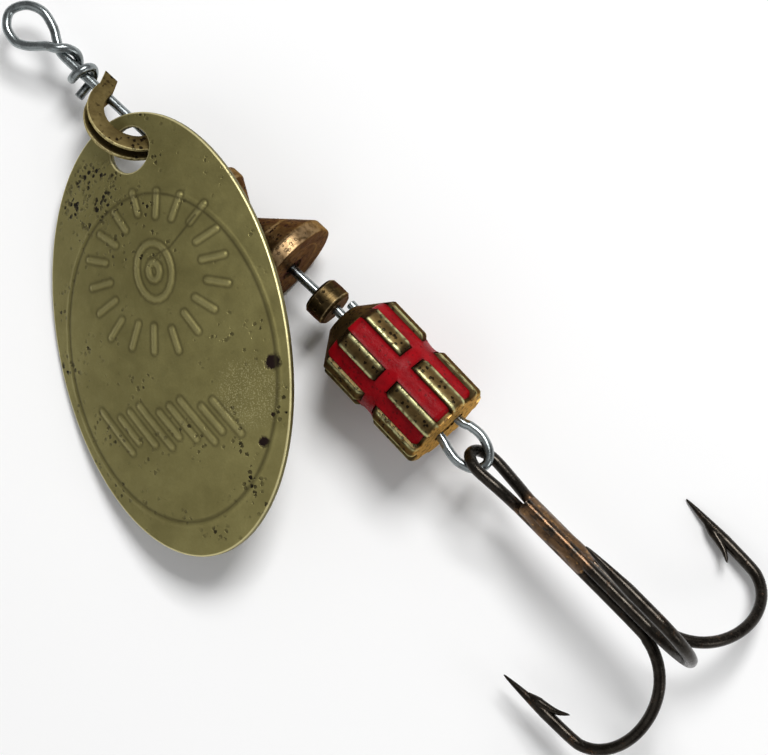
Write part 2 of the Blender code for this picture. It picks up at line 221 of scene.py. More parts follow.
def grid_mesh(name, rows, closed=False):
    """Quads over an array of rows of points whose columns wrap round.

    A closed grid joins its last row to its first, and an open one gets a fan over each end.
    """
    rows = np.asarray(rows, float)
    count, columns = rows.shape[:2]
    index = np.arange(count * columns).reshape(count, columns)
    here = index if closed else index[:-1]
    beyond = np.roll(index, -1, 0) if closed else index[1:]
    quads = np.stack([here, np.roll(here, -1, 1), np.roll(beyond, -1, 1), beyond], -1).reshape(-1, 4)
    points = rows.reshape(-1, 3)
    faces = quads.tolist()
    if not closed:
        points = np.vstack([points, rows[0].mean(0), rows[-1].mean(0)])
        start, end = count * columns, count * columns + 1
        first, last = index[0].tolist(), index[-1].tolist()
        faces += [[b, a, start] for a, b in zip(first, first[1:] + first[:1])]
        faces += [[a, b, end] for a, b in zip(last, last[1:] + last[:1])]
    return facing_out(mesh_of(name, points, faces))


def vertices_of(mesh):
    """The vertices' x, y and z in millimetres."""
    points = np.empty(len(mesh.vertices) * 3)
    mesh.vertices.foreach_get("co", points)
    return points.reshape(-1, 3).T / MM


def facing_out(mesh):
    """The closed mesh, with its faces turned round if its volume comes out below zero."""
    mesh.calc_loop_triangles()
    corners = np.empty(len(mesh.loop_triangles) * 3, int)
    mesh.loop_triangles.foreach_get("vertices", corners)
    if np.linalg.det(vertices_of(mesh).T[corners.reshape(-1, 3)]).sum() < 0:
        mesh.flip_normals()
    return mesh


def set_values(mesh, name, values):
    """Stores one number for each vertex, for the material to read."""
    attribute = mesh.attributes.new(name, "FLOAT", "POINT")
    attribute.data.foreach_set("value", np.asarray(values, np.float32))


def add_piece(name, mesh, where, material, body, node, sharp=40):
    """Moves the mesh into place as the piece that stands for a CAD node.

    Its points as they were are stored first, because its material keeps to the piece's own frame.
    """
    own = np.empty(len(mesh.vertices) * 3, np.float32)
    mesh.vertices.foreach_get("co", own)
    mesh.attributes.new(OWN_PLACE, "FLOAT_VECTOR", "POINT").data.foreach_set("vector", own)
    mesh.transform(where)
    piece = new_object(name, mesh)
    mesh.materials.clear()
    mesh.materials.append(material)
    mesh.shade_smooth()
    mesh.set_sharp_from_angle(angle=math.radians(sharp))
    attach(piece, body)
    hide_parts(node)


def combined(mesh, others, operation):
    """The mesh cut by, or joined with, each of the others, as one closed mesh."""
    piece = new_object("working", mesh)
    tools = [new_object("tool", other) for other in others]
    for tool in tools:
        modifier = piece.modifiers.new("combine", "BOOLEAN")
        modifier.operation = operation
        modifier.object = tool
    graph = bpy.context.evaluated_depsgraph_get()
    result = bpy.data.meshes.new_from_object(piece.evaluated_get(graph))
    for used in [piece, *tools]:
        bpy.data.objects.remove(used)
    return result


def smooth_path(points, step):
    """A Catmull-Rom curve through the points, sampled about every step."""
    knots = [Vector(point) for point in points]
    knots = [2 * knots[0] - knots[1], *knots, 2 * knots[-1] - knots[-2]]
    path = []
    for a, b, c, d in zip(knots, knots[1:], knots[2:], knots[3:]):
        pieces = max(1, round((c - b).length / step))
        for i in range(pieces):
            t = i / pieces
            curve = 2 * b + (c - a) * t + (2 * a - 5 * b + 4 * c - d) * t**2
            path.append(0.5 * (curve + (3 * b - a - 3 * c + d) * t**3))
    return path + [knots[-2]]


def blunted(path, radii, edge=0.05):
    """Adds a small chamfer at both cut ends of a bar."""
    first, last = (path[1] - path[0]).normalized(), (path[-2] - path[-1]).normalized()
    path = [path[0], path[0] + first * edge, *path[1:-1], path[-1] + last * edge, path[-1]]
    return path, [radii[0] - edge, radii[0], *radii[1:-1], radii[-1], radii[-1] - edge]


def tube(name, path, radii, sides):
    """A round bar along the path, with a radius at each point."""
    before, after = [path[0], *path[:-1]], [*path[1:], path[-1]]
    tangents = [(b - a).normalized() for a, b in zip(before, after)]
    across = tangents[0].orthogonal().normalized()
    angles = [2 * math.pi * k / sides for k in range(sides)]
    rows = []
    for i, (point, radius) in enumerate(zip(path, radii)):
        if i:
            across = tangents[i - 1].rotation_difference(tangents[i]) @ across
        across = (across - across.dot(tangents[i]) * tangents[i]).normalized()
        up = tangents[i].cross(across)
        rows.append([point + radius * (math.cos(a) * across + math.sin(a) * up) for a in angles])
    return grid_mesh(name, rows)


def rounded(profile, corner, cut=0.08):
    """The outline with one corner of it replaced by three, so that a sharp rim reads as worn."""
    before, at, after = (Vector(profile[(corner + i) % len(profile)]) for i in (-1, 0, 1))
    back, on = at + (before - at).normalized() * cut, at + (after - at).normalized() * cut
    middle = at * 0.5 + (back + on) * 0.25
    return profile[:corner] + [tuple(back), tuple(middle), tuple(on)] + profile[corner + 1:]


def turned(name, profile, sides=160, step=0.08):
    """A ring turned about X from a closed outline of (x, radius) corners, with points between them."""
    outline = []
    for (x, r), (next_x, next_r) in zip(profile, profile[1:] + profile[:1]):
        pieces = max(1, round(math.hypot(next_x - x, next_r - r) / step))
        outline += [(x + (next_x - x) * i / pieces, r + (next_r - r) * i / pieces) for i in range(pieces)]
    angles = np.linspace(0, 2 * math.pi, sides, endpoint=False)
    rows = [np.stack([np.full(sides, x), r * np.sin(angles), r * np.cos(angles)], -1) for x, r in outline]
    return grid_mesh(name, rows, closed=True)


# ---------------------------------------------------------------- materials


class Look:
    """A material's node tree, with short calls for the nodes used here."""

    def __init__(self, name, colour=(0.5, 0.5, 0.5), metallic=1.0, roughness=0.4):
        self.material = bpy.data.materials.new(name)
        self.material.use_nodes = True
        self.tree = self.material.node_tree
        self.shader = self.tree.nodes["Principled BSDF"]
        self.set("Metallic", metallic)
        self.set("Roughness", roughness)
        self.set("Base Color", (*colour, 1.0))
        self.place = self.add("ShaderNodeAttribute", attribute_name=OWN_PLACE).outputs["Vector"]

    def feed(self, socket, value):
        """Links another node's output to the socket, or sets a plain value on it."""
        if isinstance(value, bpy.types.NodeSocket):
            self.tree.links.new(value, socket)
        else:
            socket.default_value = value

    def set(self, socket, value):
        self.feed(self.shader.inputs[socket], value)

    def add(self, kind, sockets=None, **settings):
        node = self.tree.nodes.new(kind)
        for name, value in settings.items():
            setattr(node, name, value)
        for name, value in (sockets or {}).items():
            self.feed(node.inputs[name], value)
        return node

    def stretched(self, scale):
        """The piece's own coordinates, multiplied on each axis."""
        sockets = {"Vector": self.place, "Scale": scale}
        return self.add("ShaderNodeMapping", sockets).outputs["Vector"]

    def noise(self, size, detail=4.0, roughness=0.55, stretch=None):
        """Noise with spots about size millimetres across."""
        where = self.stretched(stretch) if stretch else self.place
        sockets = {"Vector": where, "Scale": 1 / (size * MM), "Detail": detail, "Roughness": roughness}
        return self.add("ShaderNodeTexNoise", sockets).outputs["Fac"]

    def cells(self, size):
        """Distance to the nearest of scattered points about size millimetres apart, from 0."""
        sockets = {"Vector": self.place, "Scale": 1 / (size * MM)}
        return self.add("ShaderNodeTexVoronoi", sockets, feature="F1").outputs["Distance"]

    def pits(self, size, reach=0.30):
        """1 in ragged holes round points about size millimetres apart, of radius reach times the size."""
        ragged = self.math("MULTIPLY", self.noise(size / 3, 2), 0.5)
        away = self.math("ADD", self.cells(size), ragged)
        return self.steps(away, reach + 0.20, reach + 0.30, 1.0, 0.0)

    def math(self, operation, a, b=0.0):
        node = self.add("ShaderNodeMath", operation=operation)
        for socket, value in zip(node.inputs, (a, b)):
            self.feed(socket, value)
        return node.outputs[0]

    def steps(self, value, low, high, start=0.0, end=1.0):
        """The value carried from low..high to start..end, and held there beyond."""
        sockets = {"Value": value, "From Min": low, "From Max": high, "To Min": start, "To Max": end}
        return self.add("ShaderNodeMapRange", sockets).outputs["Result"]

    def mix(self, share, a, b):
        node = self.add("ShaderNodeMix", data_type="RGBA")
        for socket, value in ((node.inputs[0], share), (node.inputs[6], a), (node.inputs[7], b)):
            self.feed(socket, (*value, 1.0) if isinstance(value, tuple) else value)
        return node.outputs[2]

    def tint(self, colour, mask, strength, other):
        """The colour with some of the other one over it, where the mask says."""
        return self.mix(self.math("MULTIPLY", mask, strength), colour, other)

    def vary_roughness(self, size, low, high, detail=4):
        self.set("Roughness", self.steps(self.noise(size, detail), 0.3, 0.7, low, high))

    def attribute(self, name):
        return self.add("ShaderNodeAttribute", attribute_name=name).outputs["Fac"]

    def spot(self, centre, radius):
        """1 inside a blot round a point in millimetres, 0 outside, with a ragged edge."""
        ends = {0: self.place, 1: Vector(centre) * MM}
        distance = self.add("ShaderNodeVectorMath", ends, operation="DISTANCE").outputs["Value"]
        ragged = self.math("MULTIPLY", self.noise(0.25, 3), radius * MM)
        away = self.math("ADD", distance, ragged)
        return self.steps(away, radius * 1.25 * MM, radius * 1.7 * MM, 1.0, 0.0)

    def bump(self, *layers):
        """Layers of (height 0..1, depth in millimetres), each added to the one before."""
        normal = None
        for height, depth in layers:
            sockets = {"Height": height, "Distance": depth * MM, "Strength": 1.0}
            if normal:
                sockets["Normal"] = normal
            normal = self.add("ShaderNodeBump", sockets).outputs["Normal"]
        self.set("Normal", normal)


def patina(look, light, dark, pit, pit_size=0.5, pit_share=0.5, mottle=1.3):
    """Two tones of tarnish with clustered black pits. Gives the colour and the pits' mask."""
    tone = look.steps(look.noise(mottle, 6, 0.62), 0.36, 0.66)
    grain = look.steps(look.noise(0.16, 3, 0.6), 0.3, 0.75)
    colour = look.tint(light, tone, 0.8, dark)
    colour = look.tint(colour, grain, 0.35, dark)
    wider = 0.35 * pit_share
    cluster = look.steps(look.noise(pit_size * 5, 3), 0.62 - wider, 0.80 - wider)
    pits = look.math("MULTIPLY", look.pits(pit_size), cluster)
    return look.mix(pits, colour, pit), pits


def steel_look():
    look = Look("drawn_steel", roughness=0.25)
    bright, dull, brown = (0.34, 0.375, 0.38), (0.17, 0.185, 0.185), (0.10, 0.085, 0.06)
    colour = look.mix(look.steps(look.noise(0.9, 5), 0.35, 0.7), bright, dull)
    stain = look.steps(look.noise(0.5, 5, 0.7), 0.60, 0.70)
    look.set("Base Color", look.tint(colour, stain, 0.6, brown))
    look.vary_roughness(0.4, 0.17, 0.36)
    look.bump((look.noise(0.05, 3, 0.7), 0.002), (look.noise(0.35, 4), 0.006))
    return look.material


def blade_look():
    look = Look("blade_olive_brass", metallic=0.85)
    light, dark, pit = (0.325, 0.288, 0.112), (0.225, 0.196, 0.070), (0.014, 0.010, 0.005)
    fleck_and_highlight, blot_brown, dirt_and_shade = (0.75, 0.68, 0.36), (0.020, 0.010, 0.009), (0.055, 0.045, 0.018)
    rubbed_and_highlight, bare = (0.50, 0.45, 0.21), (0.80, 0.72, 0.38)
    colour, pits = patina(look, light, dark, pit, pit_size=0.42, pit_share=0.30, mottle=2.6)
    dense = look.spot((1.9, -3.4, 0.65), 2.1)
    crowd = look.math("MULTIPLY", dense, look.steps(look.noise(0.9, 3), 0.40, 0.56))
    crowd = look.math("MULTIPLY", crowd, look.pits(0.36, 0.42))
    colour = look.mix(crowd, colour, pit)
    # A patch of pale specks toward the blade's far end: specks on the brass, with a painted highlight over
    # the patch
    flecks = look.steps(look.noise(0.09, 2), 0.52, 0.66)
    speckle_and_highlight = look.math("MULTIPLY", look.spot((16.6, 4.6, 0.75), 2.0), flecks)
    colour = look.tint(colour, speckle_and_highlight, 0.5, fleck_and_highlight)
    sunk = look.math("MAXIMUM", pits, crowd)
    for centre, radius in BLADE_BLOTS:
        blot = look.spot(centre, radius)
        colour = look.mix(blot, colour, blot_brown)
        sunk = look.math("MAXIMUM", sunk, blot)
    relief, grime_and_shade = look.attribute("relief"), look.attribute("grime_and_shade")
    # The raised motif lighter: rubbed brass, with a painted highlight on the strokes
    colour = look.tint(colour, look.steps(relief, 0.25, 1.0), 0.35, rubbed_and_highlight)
    # Darker by the grime mask round the motif, inside the ridge, on the edge and underneath: dirt, with
    # painted shade; the crack is a real mark
    colour = look.tint(colour, grime_and_shade, 0.62, dirt_and_shade)
    # Bright round the rim's rounded top: worn brass, with a painted highlight
    look.set("Base Color", look.mix(look.attribute("wear_and_highlight"), colour, bare))
    look.vary_roughness(1.1, 0.40, 0.54, detail=5)
    whole = look.math("SUBTRACT", 1.0, sunk)
    look.bump((whole, 0.05), (look.noise(0.10, 3, 0.6), 0.006), (look.noise(1.2, 3), 0.03))
    return look.material


def brass_look(
    name, light, dark, worn, roughness, pit_share=0.5, pit_size=0.5, marks=None, mottle=1.3
):
    """Tarnished brass with pits: bright where the wear mask says (worn rims with a painted highlight), golden
    for "gilt", darker where the grime mask says (dirt with painted shade).

    Marks gives the size of tool marks and streaks that run along X.
    """
    look = Look(name, metallic=0.9)
    colour, pits = patina(look, light, dark, PIT_BLACK, pit_size, pit_share, mottle)
    layers = [(look.math("SUBTRACT", 1.0, pits), 0.05), (look.noise(0.09, 3, 0.6), 0.006)]
    if marks:
        streak = look.noise(6 * marks, 3, 0.5, stretch=(0.12, 1.0, 1.0))
        colour = look.tint(colour, look.steps(streak, 0.42, 0.60), 0.6, dark)
        layers.append((look.noise(marks, 2, 0.5, stretch=(1.0, 0.02, 0.02)), 0.010))
    gilt = look.attribute("gilt")
    colour = look.tint(colour, gilt, 0.85, GILT)
    colour = look.tint(colour, pits, gilt, GILT_PIT)
    broken = look.steps(look.noise(0.35, 4), 0.30, 0.55)
    # Rims brighter by the wear mask: worn brass, with a painted highlight along the edges
    colour = look.tint(colour, look.attribute("wear_and_highlight"), broken, worn)
    # Darker by the grime mask: dirt, with painted shade in corners and recesses
    look.set("Base Color", look.tint(colour, look.attribute("grime_and_shade"), 0.85, DIRT_AND_SHADE_BROWN))
    look.vary_roughness(0.5, *roughness)
    look.set("Specular Tint", EDGE_TINT)
    look.bump(*layers)
    return look.material


def enamel_look():
    look = Look("gloss_red_enamel", metallic=0.0, roughness=0.3)
    red, deep_red = (0.30, 0.003, 0.007), (0.20, 0.002, 0.005)
    pit, dirt_and_shade = (0.08, 0.003, 0.004), (0.05, 0.003, 0.003)
    colour = look.mix(look.steps(look.noise(0.7, 5), 0.35, 0.7), red, deep_red)
    colour = look.tint(colour, look.pits(0.32, 0.25), 0.6, pit)
    # Darker by the brass walls: dirt, with painted shade where the enamel meets the ribs
    look.set("Base Color", look.tint(colour, look.attribute("grime_and_shade"), 0.8, dirt_and_shade))
    look.vary_roughness(0.4, 0.26, 0.44)
    look.set("Specular IOR Level", 0.06)
    look.bump((look.noise(0.22, 4, 0.6), 0.025), (look.noise(0.06, 2), 0.004))
    return look.material


def bronze_look():
    """Blackened steel with rust and worn streaks, and a brown coat of braze over the joined shanks."""
    look = Look("bronzed_hook_steel", metallic=0.9)
    brown, black, rust_brown = (0.036, 0.031, 0.025), (0.015, 0.012, 0.009), (0.085, 0.042, 0.019)
    bare, braze_brown = (0.18, 0.17, 0.14), (0.150, 0.080, 0.038)
    colour = look.mix(look.steps(look.noise(1.1, 6, 0.65), 0.36, 0.66), brown, black)
    patches = look.steps(look.noise(0.9, 6, 0.7), 0.56, 0.68)
    rust = look.math("MULTIPLY", patches, look.steps(look.noise(0.15, 3), 0.4, 0.6))
    colour = look.tint(colour, rust, 0.75, rust_brown)
    worn = look.steps(look.noise(0.13, 3, 0.6, stretch=(0.12, 1.0, 1.0)), 0.62, 0.74)
    colour = look.tint(colour, worn, 0.45, bare)
    depth = look.add("ShaderNodeSeparateXYZ", {0: look.place}).outputs["X"]
    ragged = look.math("ADD", depth, look.math("MULTIPLY", look.noise(0.5, 4, 0.7), 1.2 * MM))
    past_start = look.steps(ragged, BRAZE_START * MM, (BRAZE_START + 0.7) * MM)
    before_end = look.steps(ragged, (BRAZE_END + 0.3) * MM, (BRAZE_END + 1.0) * MM, 1.0, 0.0)
    brazed = look.math("MULTIPLY", past_start, before_end)
    brazed = look.math("MULTIPLY", brazed, look.steps(look.noise(0.6, 5, 0.7), 0.40, 0.60))
    look.set("Base Color", look.tint(colour, brazed, 0.8, braze_brown))
    look.vary_roughness(0.3, 0.18, 0.36)
    look.bump((look.noise(0.30, 5, 0.6), 0.012), (look.noise(0.07, 3), 0.003), (rust, 0.012))
    return look.material


def braze_look():
    look = Look("copper_braze", metallic=0.85)
    copper, brown = (0.20, 0.112, 0.052), (0.060, 0.036, 0.022)
    gold, black = (0.50, 0.27, 0.09), (0.030, 0.022, 0.016)
    colour = look.mix(look.steps(look.noise(0.7, 5, 0.65), 0.36, 0.64), copper, brown)
    glints = look.steps(look.noise(0.35, 4), 0.58, 0.68)
    colour = look.tint(colour, glints, 0.7, gold)
    soot = look.steps(look.noise(0.45, 5, 0.7), 0.58, 0.68)
    look.set("Base Color", look.tint(colour, soot, 0.8, black))
    look.vary_roughness(0.4, 0.30, 0.52)
    look.bump((look.noise(0.4, 5, 0.6), 0.04), (look.noise(0.1, 3), 0.008))
    return look.material


# ---------------------------------------------------------------- pieces


def wire_path():
    """From the wrap's cut end, round the shaft, the eye, the shaft, the hook loop and back into the body."""
    turns = [(540, -26.28), (450, -26.56), (360, -26.80), (270, -27.06)]
    turns += [(180, -27.43), (90, -28.05), (0, -29.0)]
    points = [(-26.15, -1.25, -0.58), (-26.2, -0.55, -0.64)]
    for (phase, x), (next_phase, next_x) in zip(turns, turns[1:]):
        for part in (0.0, 0.5):
            angle = math.radians(phase + part * (next_phase - phase))
            along = x + part * (next_x - x)
            points.append((along, WRAP_RADIUS * math.sin(angle), WRAP_RADIUS * math.cos(angle)))
    points += [(-29.0, 0.0, WRAP_RADIUS)]
    points += [(-29.6, -0.28, 0.48), (-30.2, -0.78, 0.25), (-30.85, -1.2, 0.08), (-31.5, -1.37, 0)]
    points += [(-32.45, -1.08, 0), (-33.0, -0.22, 0), (-32.5, 0.74, 0), (-31.45, 1.15, 0)]
    points += [(-30.3, 0.88, -0.08), (-29.55, 0.44, -0.12), (-29.0, 0.12, -0.06), (-28.4, 0, 0)]
    points += [(-26, 0, 0), (-16, 0, 0), (-6.5, 0, 0), (-4.2, -0.03, 0)]
    points += [(0, -0.42, 0), (4.74, -1.26, 0), (5.8, -1.55, 0), (6.8, -1.68, 0), (7.75, -1.34, 0), LOOP_TIP]
    points += [(7.7, 0.02, 0), (6.8, 0.40, 0), (5.9, 0.38, 0), (4.74, 0.18, 0), (0, 0.52, 0), (-4.6, 0.85, 0)]
    return smooth_path(points, 0.12)


def make_wire():
    path = wire_path()
    path, radii = blunted(path, [WIRE_RADIUS - WIRE_TRIM] * len(path))
    mesh = tube("shaft_wire_bent", path, radii, 24)
    add_piece("shaft_wire_bent", mesh, placed(), steel_look(), "wire", "wire_shaft")


def make_clevis():
    """A channel section, open on the outside of the bend, with a hole in each arm for the wire."""
    half_width, half_band = CLEVIS_WIDTH / 2, CLEVIS_BAND / 2
    slot, floor = half_width - CLEVIS_SHEET, CLEVIS_SHEET - half_band
    section = [(-half_width, -half_band), (half_width, -half_band), (half_width, half_band)]
    section += [(slot, half_band), (slot, floor), (-slot, floor)]
    section += [(-slot, half_band), (-half_width, half_band)]
    # Every corner but the two on the slot's floor
    for corner in (7, 6, 3, 2, 1, 0):
        section = rounded(section, corner, CLEVIS_ROUND)
    outwards = [Vector((-math.cos(a), -math.sin(a), 0)) for a in np.linspace(0, math.pi, 49)]
    stations = [(CLEVIS_RADIUS * outward, outward) for outward in outwards]
    for at, side in ((0, -1), (len(outwards) + 1, 1)):
        arm_end = Vector((side * (CLEVIS_RADIUS + CLEVIS_SPLAY), CLEVIS_ARM, 0))
        stations.insert(at, (arm_end, Vector((side, 0, 0))))
    rows = [[centre + o * outward + Vector((0, 0, w)) for w, o in section] for centre, outward in stations]
    reach = CLEVIS_RADIUS + CLEVIS_BAND
    hole = tube("hole", [Vector((-reach, 0, 0)), Vector((reach, 0, 0))], [CLEVIS_HOLE] * 2, 40)
    mesh = combined(grid_mesh("clevis_channel", rows), [hole], "DIFFERENCE")
    # The flanges' rims made bright: worn brass, with a painted highlight
    set_values(mesh, "wear_and_highlight", flange_wear_and_highlight(mesh))
    light, dark, worn = (0.185, 0.140, 0.055), (0.080, 0.056, 0.021), (0.60, 0.52, 0.26)
    look = brass_look("clevis_tarnished_brass", light, dark, worn, (0.46, 0.62), pit_share=0.7, pit_size=0.36)
    where = placed((CLEVIS_X, 0, 0), (CLEVIS_ROLL, 0, 0))
    add_piece("clevis_channel", mesh, where, look, "clevis", "blade_clevis", sharp=50)


def flange_wear_and_highlight(mesh):
    """1 on the rounded rims of the bent channel's two flanges, and 0 on the sheet between them: worn brass
    with a painted highlight along the rims.
    """
    x, y, z = vertices_of(mesh)
    splay = CLEVIS_SPLAY * np.clip(y / CLEVIS_ARM, 0, 1)
    out = np.hypot(np.abs(x) - splay, np.minimum(y, 0)) - CLEVIS_RADIUS
    on_flange = np.abs(z) > CLEVIS_WIDTH / 2 - CLEVIS_SHEET - 0.01
    return np.clip((out - CLEVIS_BAND / 2 + 0.05) / 0.03, 0, 1) * on_flange


def blade_strokes():
    """The stamped motif as straight strokes: a ring of rays round two nested ovals, and leaning reeds."""
    rays, first_ray, lean = 18, 6, math.radians(28)
    centre_x, centre_y = RAYS_CENTRE
    strokes = []
    for i in range(rays):
        angle = math.radians(first_ray + 360 / rays * i)
        ends = (3.35, 4.85) if i % 3 else (3.75, 5.15)
        strokes.append([(centre_x + r * math.cos(angle), centre_y + r * math.sin(angle)) for r in ends])
    for half_length, half_width, pieces in ((1.75, 1.25, 20), (0.55, 0.40, 10)):
        ring = [2 * math.pi * i / pieces for i in range(pieces + 1)]
        oval = [(centre_x + half_length * math.cos(a), centre_y + half_width * math.sin(a)) for a in ring]
        strokes += [[p, q] for p, q in zip(oval, oval[1:])]
    for i, half_length in enumerate((1.7, 1.0, 1.35) * 3):
        across = i - 4.0
        centre = Vector(REEDS_CENTRE) + Vector((0.14 * across, across))
        step = half_length * Vector((math.cos(lean), math.sin(lean)))
        strokes.append([tuple(centre - step), tuple(centre + step)])
    return strokes


def stroke_distance(x, y, strokes):
    """How far each point is from the nearest of the straight strokes."""
    nearest = np.full(x.shape, np.inf)
    for (ax, ay), (bx, by) in strokes:
        dx, dy = bx - ax, by - ay
        t = np.clip(((x - ax) * dx + (y - ay) * dy) / (dx * dx + dy * dy), 0, 1)
        nearest = np.minimum(nearest, np.hypot(x - ax - t * dx, y - ay - t * dy))
    return nearest


def blade_relief(x, y):
    """0..1 at each point of the blade's top: the raised motif, the border ridge and the hollows."""
    nearest = stroke_distance(x, y, blade_strokes())
    motif = np.clip(1 - (nearest / (2 * STROKE_WIDTH)) ** 2, 0, 1) ** 2
    along, aside = x - RIDGE_CENTRE, y - BLADE_CENTRE_ASIDE
    out = np.hypot(along / RIDGE_HALF_LENGTH, aside / RIDGE_HALF_WIDTH)
    spread = np.hypot(along / RIDGE_HALF_LENGTH**2, aside / RIDGE_HALF_WIDTH**2) + 1e-9
    inset = (1 - out) * out / spread
    ridge = np.exp(-((inset / RIDGE_WIDTH) ** 2))
    trough = np.exp(-(((inset - 2.2 * RIDGE_WIDTH) / RIDGE_WIDTH) ** 2))
    # The halo round each stroke and the trough inside the ridge are slight hollows; the material also darkens
    # them as painted shade. The crack is a real dark line.
    halo = np.exp(-(((nearest - 2.2 * STROKE_WIDTH) / (0.7 * STROKE_WIDTH)) ** 2))
    crack = np.clip(1.5 - stroke_distance(x, y, zip(CRACK, CRACK[1:])) / CRACK_WIDTH, 0, 1)
    return motif, ridge, np.maximum(np.maximum(0.8 * halo, trough), crack)


def make_blade():
    """Nested ellipses from the hole's rim to the edge, over the top, round the edge and back underneath."""
    columns, top_rows, under_rows = 640, 210, 60
    angle = np.linspace(0, 2 * math.pi, columns, endpoint=False)
    half, rounding = BLADE_THICK / 2, BLADE_EDGE_ROUND
    quarter = [math.pi / 2 * i / 5 for i in range(1, 6)]
    # Each ring's share of the way from the hole to the edge, its step out from there and its height
    rings = [(i / top_rows, 0.0, half) for i in range(top_rows + 1)]
    rings += [(1.0, rounding * math.sin(a), half - rounding * (1 - math.cos(a))) for a in quarter]
    rings += [(1.0, rounding * math.cos(a), -half + rounding * (1 - math.sin(a))) for a in [0.0, *quarter]]
    rings += [(1 - i / under_rows, 0.0, -half) for i in range(1, under_rows + 1)]
    rings += [(0.0, -rounding * math.sin(a), -half + rounding * (1 - math.cos(a))) for a in quarter]
    back_up = [0.0, *quarter[:-1]]
    rings += [(0.0, -rounding * math.cos(a), half - rounding * (1 - math.sin(a))) for a in back_up]
    rows, reliefs, grime_and_shade_rings, wear_and_highlight_rings = [], [], [], []
    for share, offset, height in rings:
        inner = (1 - share) * (BLADE_HOLE + rounding)
        length = inner + share * (BLADE_HALF_LENGTH - rounding) + offset
        width = inner + share * (BLADE_HALF_WIDTH - rounding) + offset
        x = share * BLADE_HOLE_TO_CENTRE + length * np.cos(angle)
        y = share * BLADE_CENTRE_ASIDE + width * np.sin(angle)
        along = (x - BLADE_HOLE_TO_CENTRE) / BLADE_HALF_LENGTH
        aside = (y - BLADE_CENTRE_ASIDE) / BLADE_HALF_WIDTH
        motif, ridge, hollow = blade_relief(x, y)
        motif = motif * float(height > 0)
        raised = STROKE_HEIGHT * motif + RIDGE_HEIGHT * (ridge - hollow * 0.5)
        z = BLADE_DISH * (1 - (along**2 + aside**2)) + height + raised * (abs(height) == half)
        rows.append(np.stack([x, y, z], -1))
        reliefs.append(motif)
        # Below the rim's rounded top corner, round the hole and underneath, the grime mask is 0.8 for painted
        # shade with dirt; the rounded top corner is marked bright for wear with a painted highlight.
        on_corner = half - rounding / 2 < height < half
        grime_and_shade_rings.append(hollow if height == half else np.full(columns, 0.0 if on_corner else 0.8))
        wear_and_highlight_rings.append(np.full(columns, 0.8 * on_corner))
    mesh = grid_mesh("blade_stamped", rows, closed=True)
    for name, values in (("relief", reliefs), ("grime_and_shade", grime_and_shade_rings), ("wear_and_highlight", wear_and_highlight_rings)):
        set_values(mesh, name, np.concatenate(values))
    where = placed(BLADE_PLACE, BLADE_TURN)
    add_piece("blade_stamped", mesh, where, blade_look(), "blade", "spinner_blade")


def make_collar():
    """Two cones waist to waist: a narrow rim in front, and a wide one round a recess behind."""
    recess_x = COLLAR_LENGTH - COLLAR_RECESS
    profile = [(0, COLLAR_BORE), (0, 1.8), (0.37, COLLAR_SMALL_RIM), (1.06, COLLAR_SMALL_RIM)]
    profile += [(3.30, COLLAR_WAIST), (3.48, COLLAR_WAIST)]
    profile += [(6.45, COLLAR_LARGE_RIM), (COLLAR_LENGTH, COLLAR_LARGE_RIM)]
    profile += [(COLLAR_LENGTH, 0.78), (recess_x, 0.70), (recess_x, COLLAR_BORE)]
    # The corners of the wide rim, then those of the narrow one
    for corner in (7, 6, 3, 2, 1):
        profile = rounded(profile, corner)
    mesh = turned("collar_hourglass_turned", profile)
    x, y, z = vertices_of(mesh)
    radius = np.hypot(y, z)
    wide_rim = np.clip((radius - 3.05) / 0.1, 0, 1)
    # Bright rims: worn brass with a painted highlight. Darker in the wide end's recess: dirt with painted
    # shade.
    set_values(mesh, "wear_and_highlight", 0.55 * wide_rim + 0.5 * (abs(radius - 2.08) < 0.06))
    set_values(mesh, "grime_and_shade", np.clip((0.95 - radius) / 0.2, 0, 1) * (x > 6))
    light, dark, worn = (0.200, 0.122, 0.056), (0.040, 0.021, 0.009), (0.46, 0.31, 0.16)
    pits = {"pit_share": 1.2, "pit_size": 0.33, "mottle": 0.7}
    look = brass_look("collar_brown_bronze", light, dark, worn, (0.30, 0.46), marks=0.10, **pits)
    where = placed((COLLAR_X, 0, 0))
    name = "collar_hourglass_turned"
    add_piece(name, mesh, where, look, "collar", "hourglass_collar")


def make_bead():
    half = [(0, BEAD_BORE), (0, BEAD_RADIUS - BEAD_EDGE), (BEAD_EDGE, BEAD_RADIUS - 0.02)]
    other_half = [(BEAD_LENGTH - x, radius) for x, radius in reversed(half)]
    mesh = turned("bead_turned", [*half, (BEAD_LENGTH / 2, BEAD_RADIUS), *other_half], 120, 0.05)
    x, y, z = vertices_of(mesh)
    rim = np.minimum(abs(x - BEAD_EDGE), abs(x - BEAD_LENGTH + BEAD_EDGE)) < 0.05
    # Bright lines round both rims: worn brass, with a painted highlight
    set_values(mesh, "wear_and_highlight", 0.5 * rim * (np.hypot(y, z) > BEAD_RADIUS - 0.05))
    light, dark, worn = (0.092, 0.062, 0.025), (0.036, 0.024, 0.010), (0.62, 0.47, 0.25)
    pits = {"pit_share": 0.6, "pit_size": 0.40}
    look = brass_look("bead_dark_brass", light, dark, worn, (0.28, 0.42), marks=0.09, **pits)
    add_piece("bead_turned", mesh, placed((BEAD_X, 0, 0)), look, "bead", "spacer_bead")


def rib_depths(x, angle):
    """How far inside the nearest rib a point is, from the rib's side and from its end at the ring."""
    pitch = 2 * math.pi / RIBS
    off_centre = np.abs((angle - FIRST_RIB + pitch / 2) % pitch - pitch / 2)
    from_side = (RIB_ANGLE / 2 - off_centre) * BODY_RADIUS
    from_ring = np.where(x < (RING_START + RING_END) / 2, RING_START - x, x - RING_END)
    return from_side, from_ring


